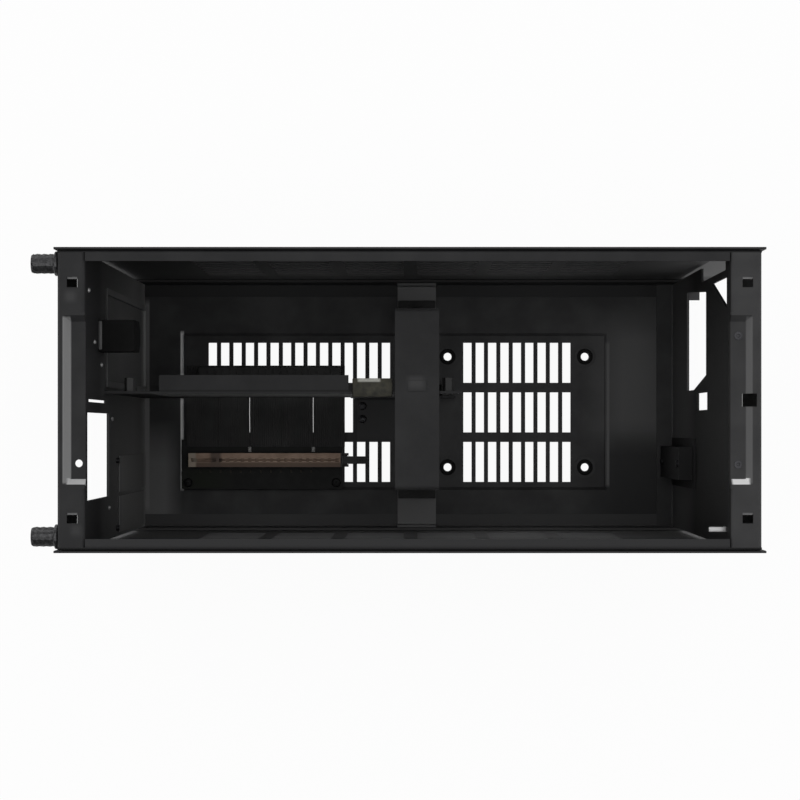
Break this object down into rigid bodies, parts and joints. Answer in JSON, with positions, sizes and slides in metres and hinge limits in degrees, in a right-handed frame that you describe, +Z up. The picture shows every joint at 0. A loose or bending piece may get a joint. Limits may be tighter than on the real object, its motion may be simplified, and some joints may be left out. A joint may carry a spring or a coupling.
{
  "type": "mini-itx pc case",
  "caption": "Slim black computer case for a small motherboard, open at the top, with folded steel walls, a card riser, vented bottom plate and pull-off side panels.",
  "frame": {"origin": "on the floor under the middle of the whole outline, thumb screws included", "axes": "+X to the front, +Y to the motherboard side, +Z up"},
  "size_m": [0.337, 0.14, 0.24],
  "materials": {
    "black_sheet": "satin black powder coat on folded steel",
    "panel_coat": "satin black powder coat on flat sheet",
    "black_zinc": "black plated steel",
    "bright_steel": "nickel plated steel",
    "brass": "turned brass",
    "gold_contact": "gold plated contact",
    "black_plastic": "moulded black plastic",
    "button_plastic": "smooth black plastic",
    "brown_plastic": "moulded brown plastic",
    "circuit_board": "dark green solder mask",
    "ribbon_jacket": "black ribbon cable jacket",
    "black_rubber": "soft black rubber"
  },
  "bodies": {
    "frame": {"audio_jack": "black_plastic", "bottom_plate": "black_sheet", "catch_springs": "bright_steel", "centre_bridge": "black_sheet", "clamp_screws": "black_zinc", "connection_board": "circuit_board", "connection_bracket": "black_sheet", "front_wall": "black_sheet", "graphics_side_bottom_rail": "black_sheet", "graphics_side_clips": "bright_steel", "graphics_side_top_rail": "black_sheet", "inner_slot_cover": "black_sheet", "mains_inlet": "black_plastic", "mains_inlet_blades": "bright_steel", "motherboard_side_bottom_rail": "black_sheet", "motherboard_side_clips": "bright_steel", "motherboard_side_top_rail": "black_sheet", "motherboard_standoffs": "brass", "motherboard_tray": "black_sheet", "outer_slot_cover": "black_sheet", "port_blanking_plate": "black_sheet", "power_switch": "black_plastic", "rear_wall": "black_sheet", "riser_board": "circuit_board", "riser_contacts": "gold_contact", "riser_plug_card": "circuit_board", "riser_plug_hood": "black_plastic", "riser_posts": "brass", "riser_ribbons": "ribbon_jacket", "riser_slot": "brown_plastic", "rubber_feet": "black_rubber", "slot_clamp": "black_sheet", "usb_a_shell": "bright_steel", "usb_a_tongue": "black_plastic", "usb_c_shell": "bright_steel", "usb_c_tongue": "black_plastic"},
    "motherboard_side_panel": {"motherboard_side_panel": "panel_coat", "motherboard_side_tongues": "bright_steel"},
    "graphics_side_panel": {"graphics_side_panel": "panel_coat", "graphics_side_tongues": "bright_steel"},
    "motherboard_side_thumb_screw": {"motherboard_side_thumb_screw": "black_zinc"},
    "graphics_side_thumb_screw": {"graphics_side_thumb_screw": "black_zinc"},
    "riser_latch": {"riser_latch": "black_plastic"},
    "power_button": {"power_button": "button_plastic"}
  },
  "joints": [
    {"name": "motherboard_side_panel_pull", "type": "slide", "parent": "frame", "child": "motherboard_side_panel", "axis": [0, 1, 0], "range_m": [0, 0.03]},
    {"name": "graphics_side_panel_pull", "type": "slide", "parent": "frame", "child": "graphics_side_panel", "axis": [0, -1, 0], "range_m": [0, 0.03]},
    {"name": "motherboard_side_thumb_turn", "type": "hinge", "parent": "frame", "child": "motherboard_side_thumb_screw", "pos_m": [-0.1559, 0.0628, 0.233], "axis": [-1, 0, 0], "continuous": true},
    {"name": "graphics_side_thumb_turn", "type": "hinge", "parent": "frame", "child": "graphics_side_thumb_screw", "pos_m": [-0.1559, -0.0628, 0.233], "axis": [-1, 0, 0], "continuous": true},
    {"name": "riser_latch_tilt", "type": "hinge", "parent": "frame", "child": "riser_latch", "pos_m": [-0.0308, -0.0303, 0.0146], "axis": [0, 1, 0], "range_deg": [0, 30]},
    {"name": "power_button_press", "type": "slide", "parent": "frame", "child": "power_button", "axis": [-1, 0, 0], "range_m": [0, 0.0012], "stiffness_N_per_m": 800}
  ]
}
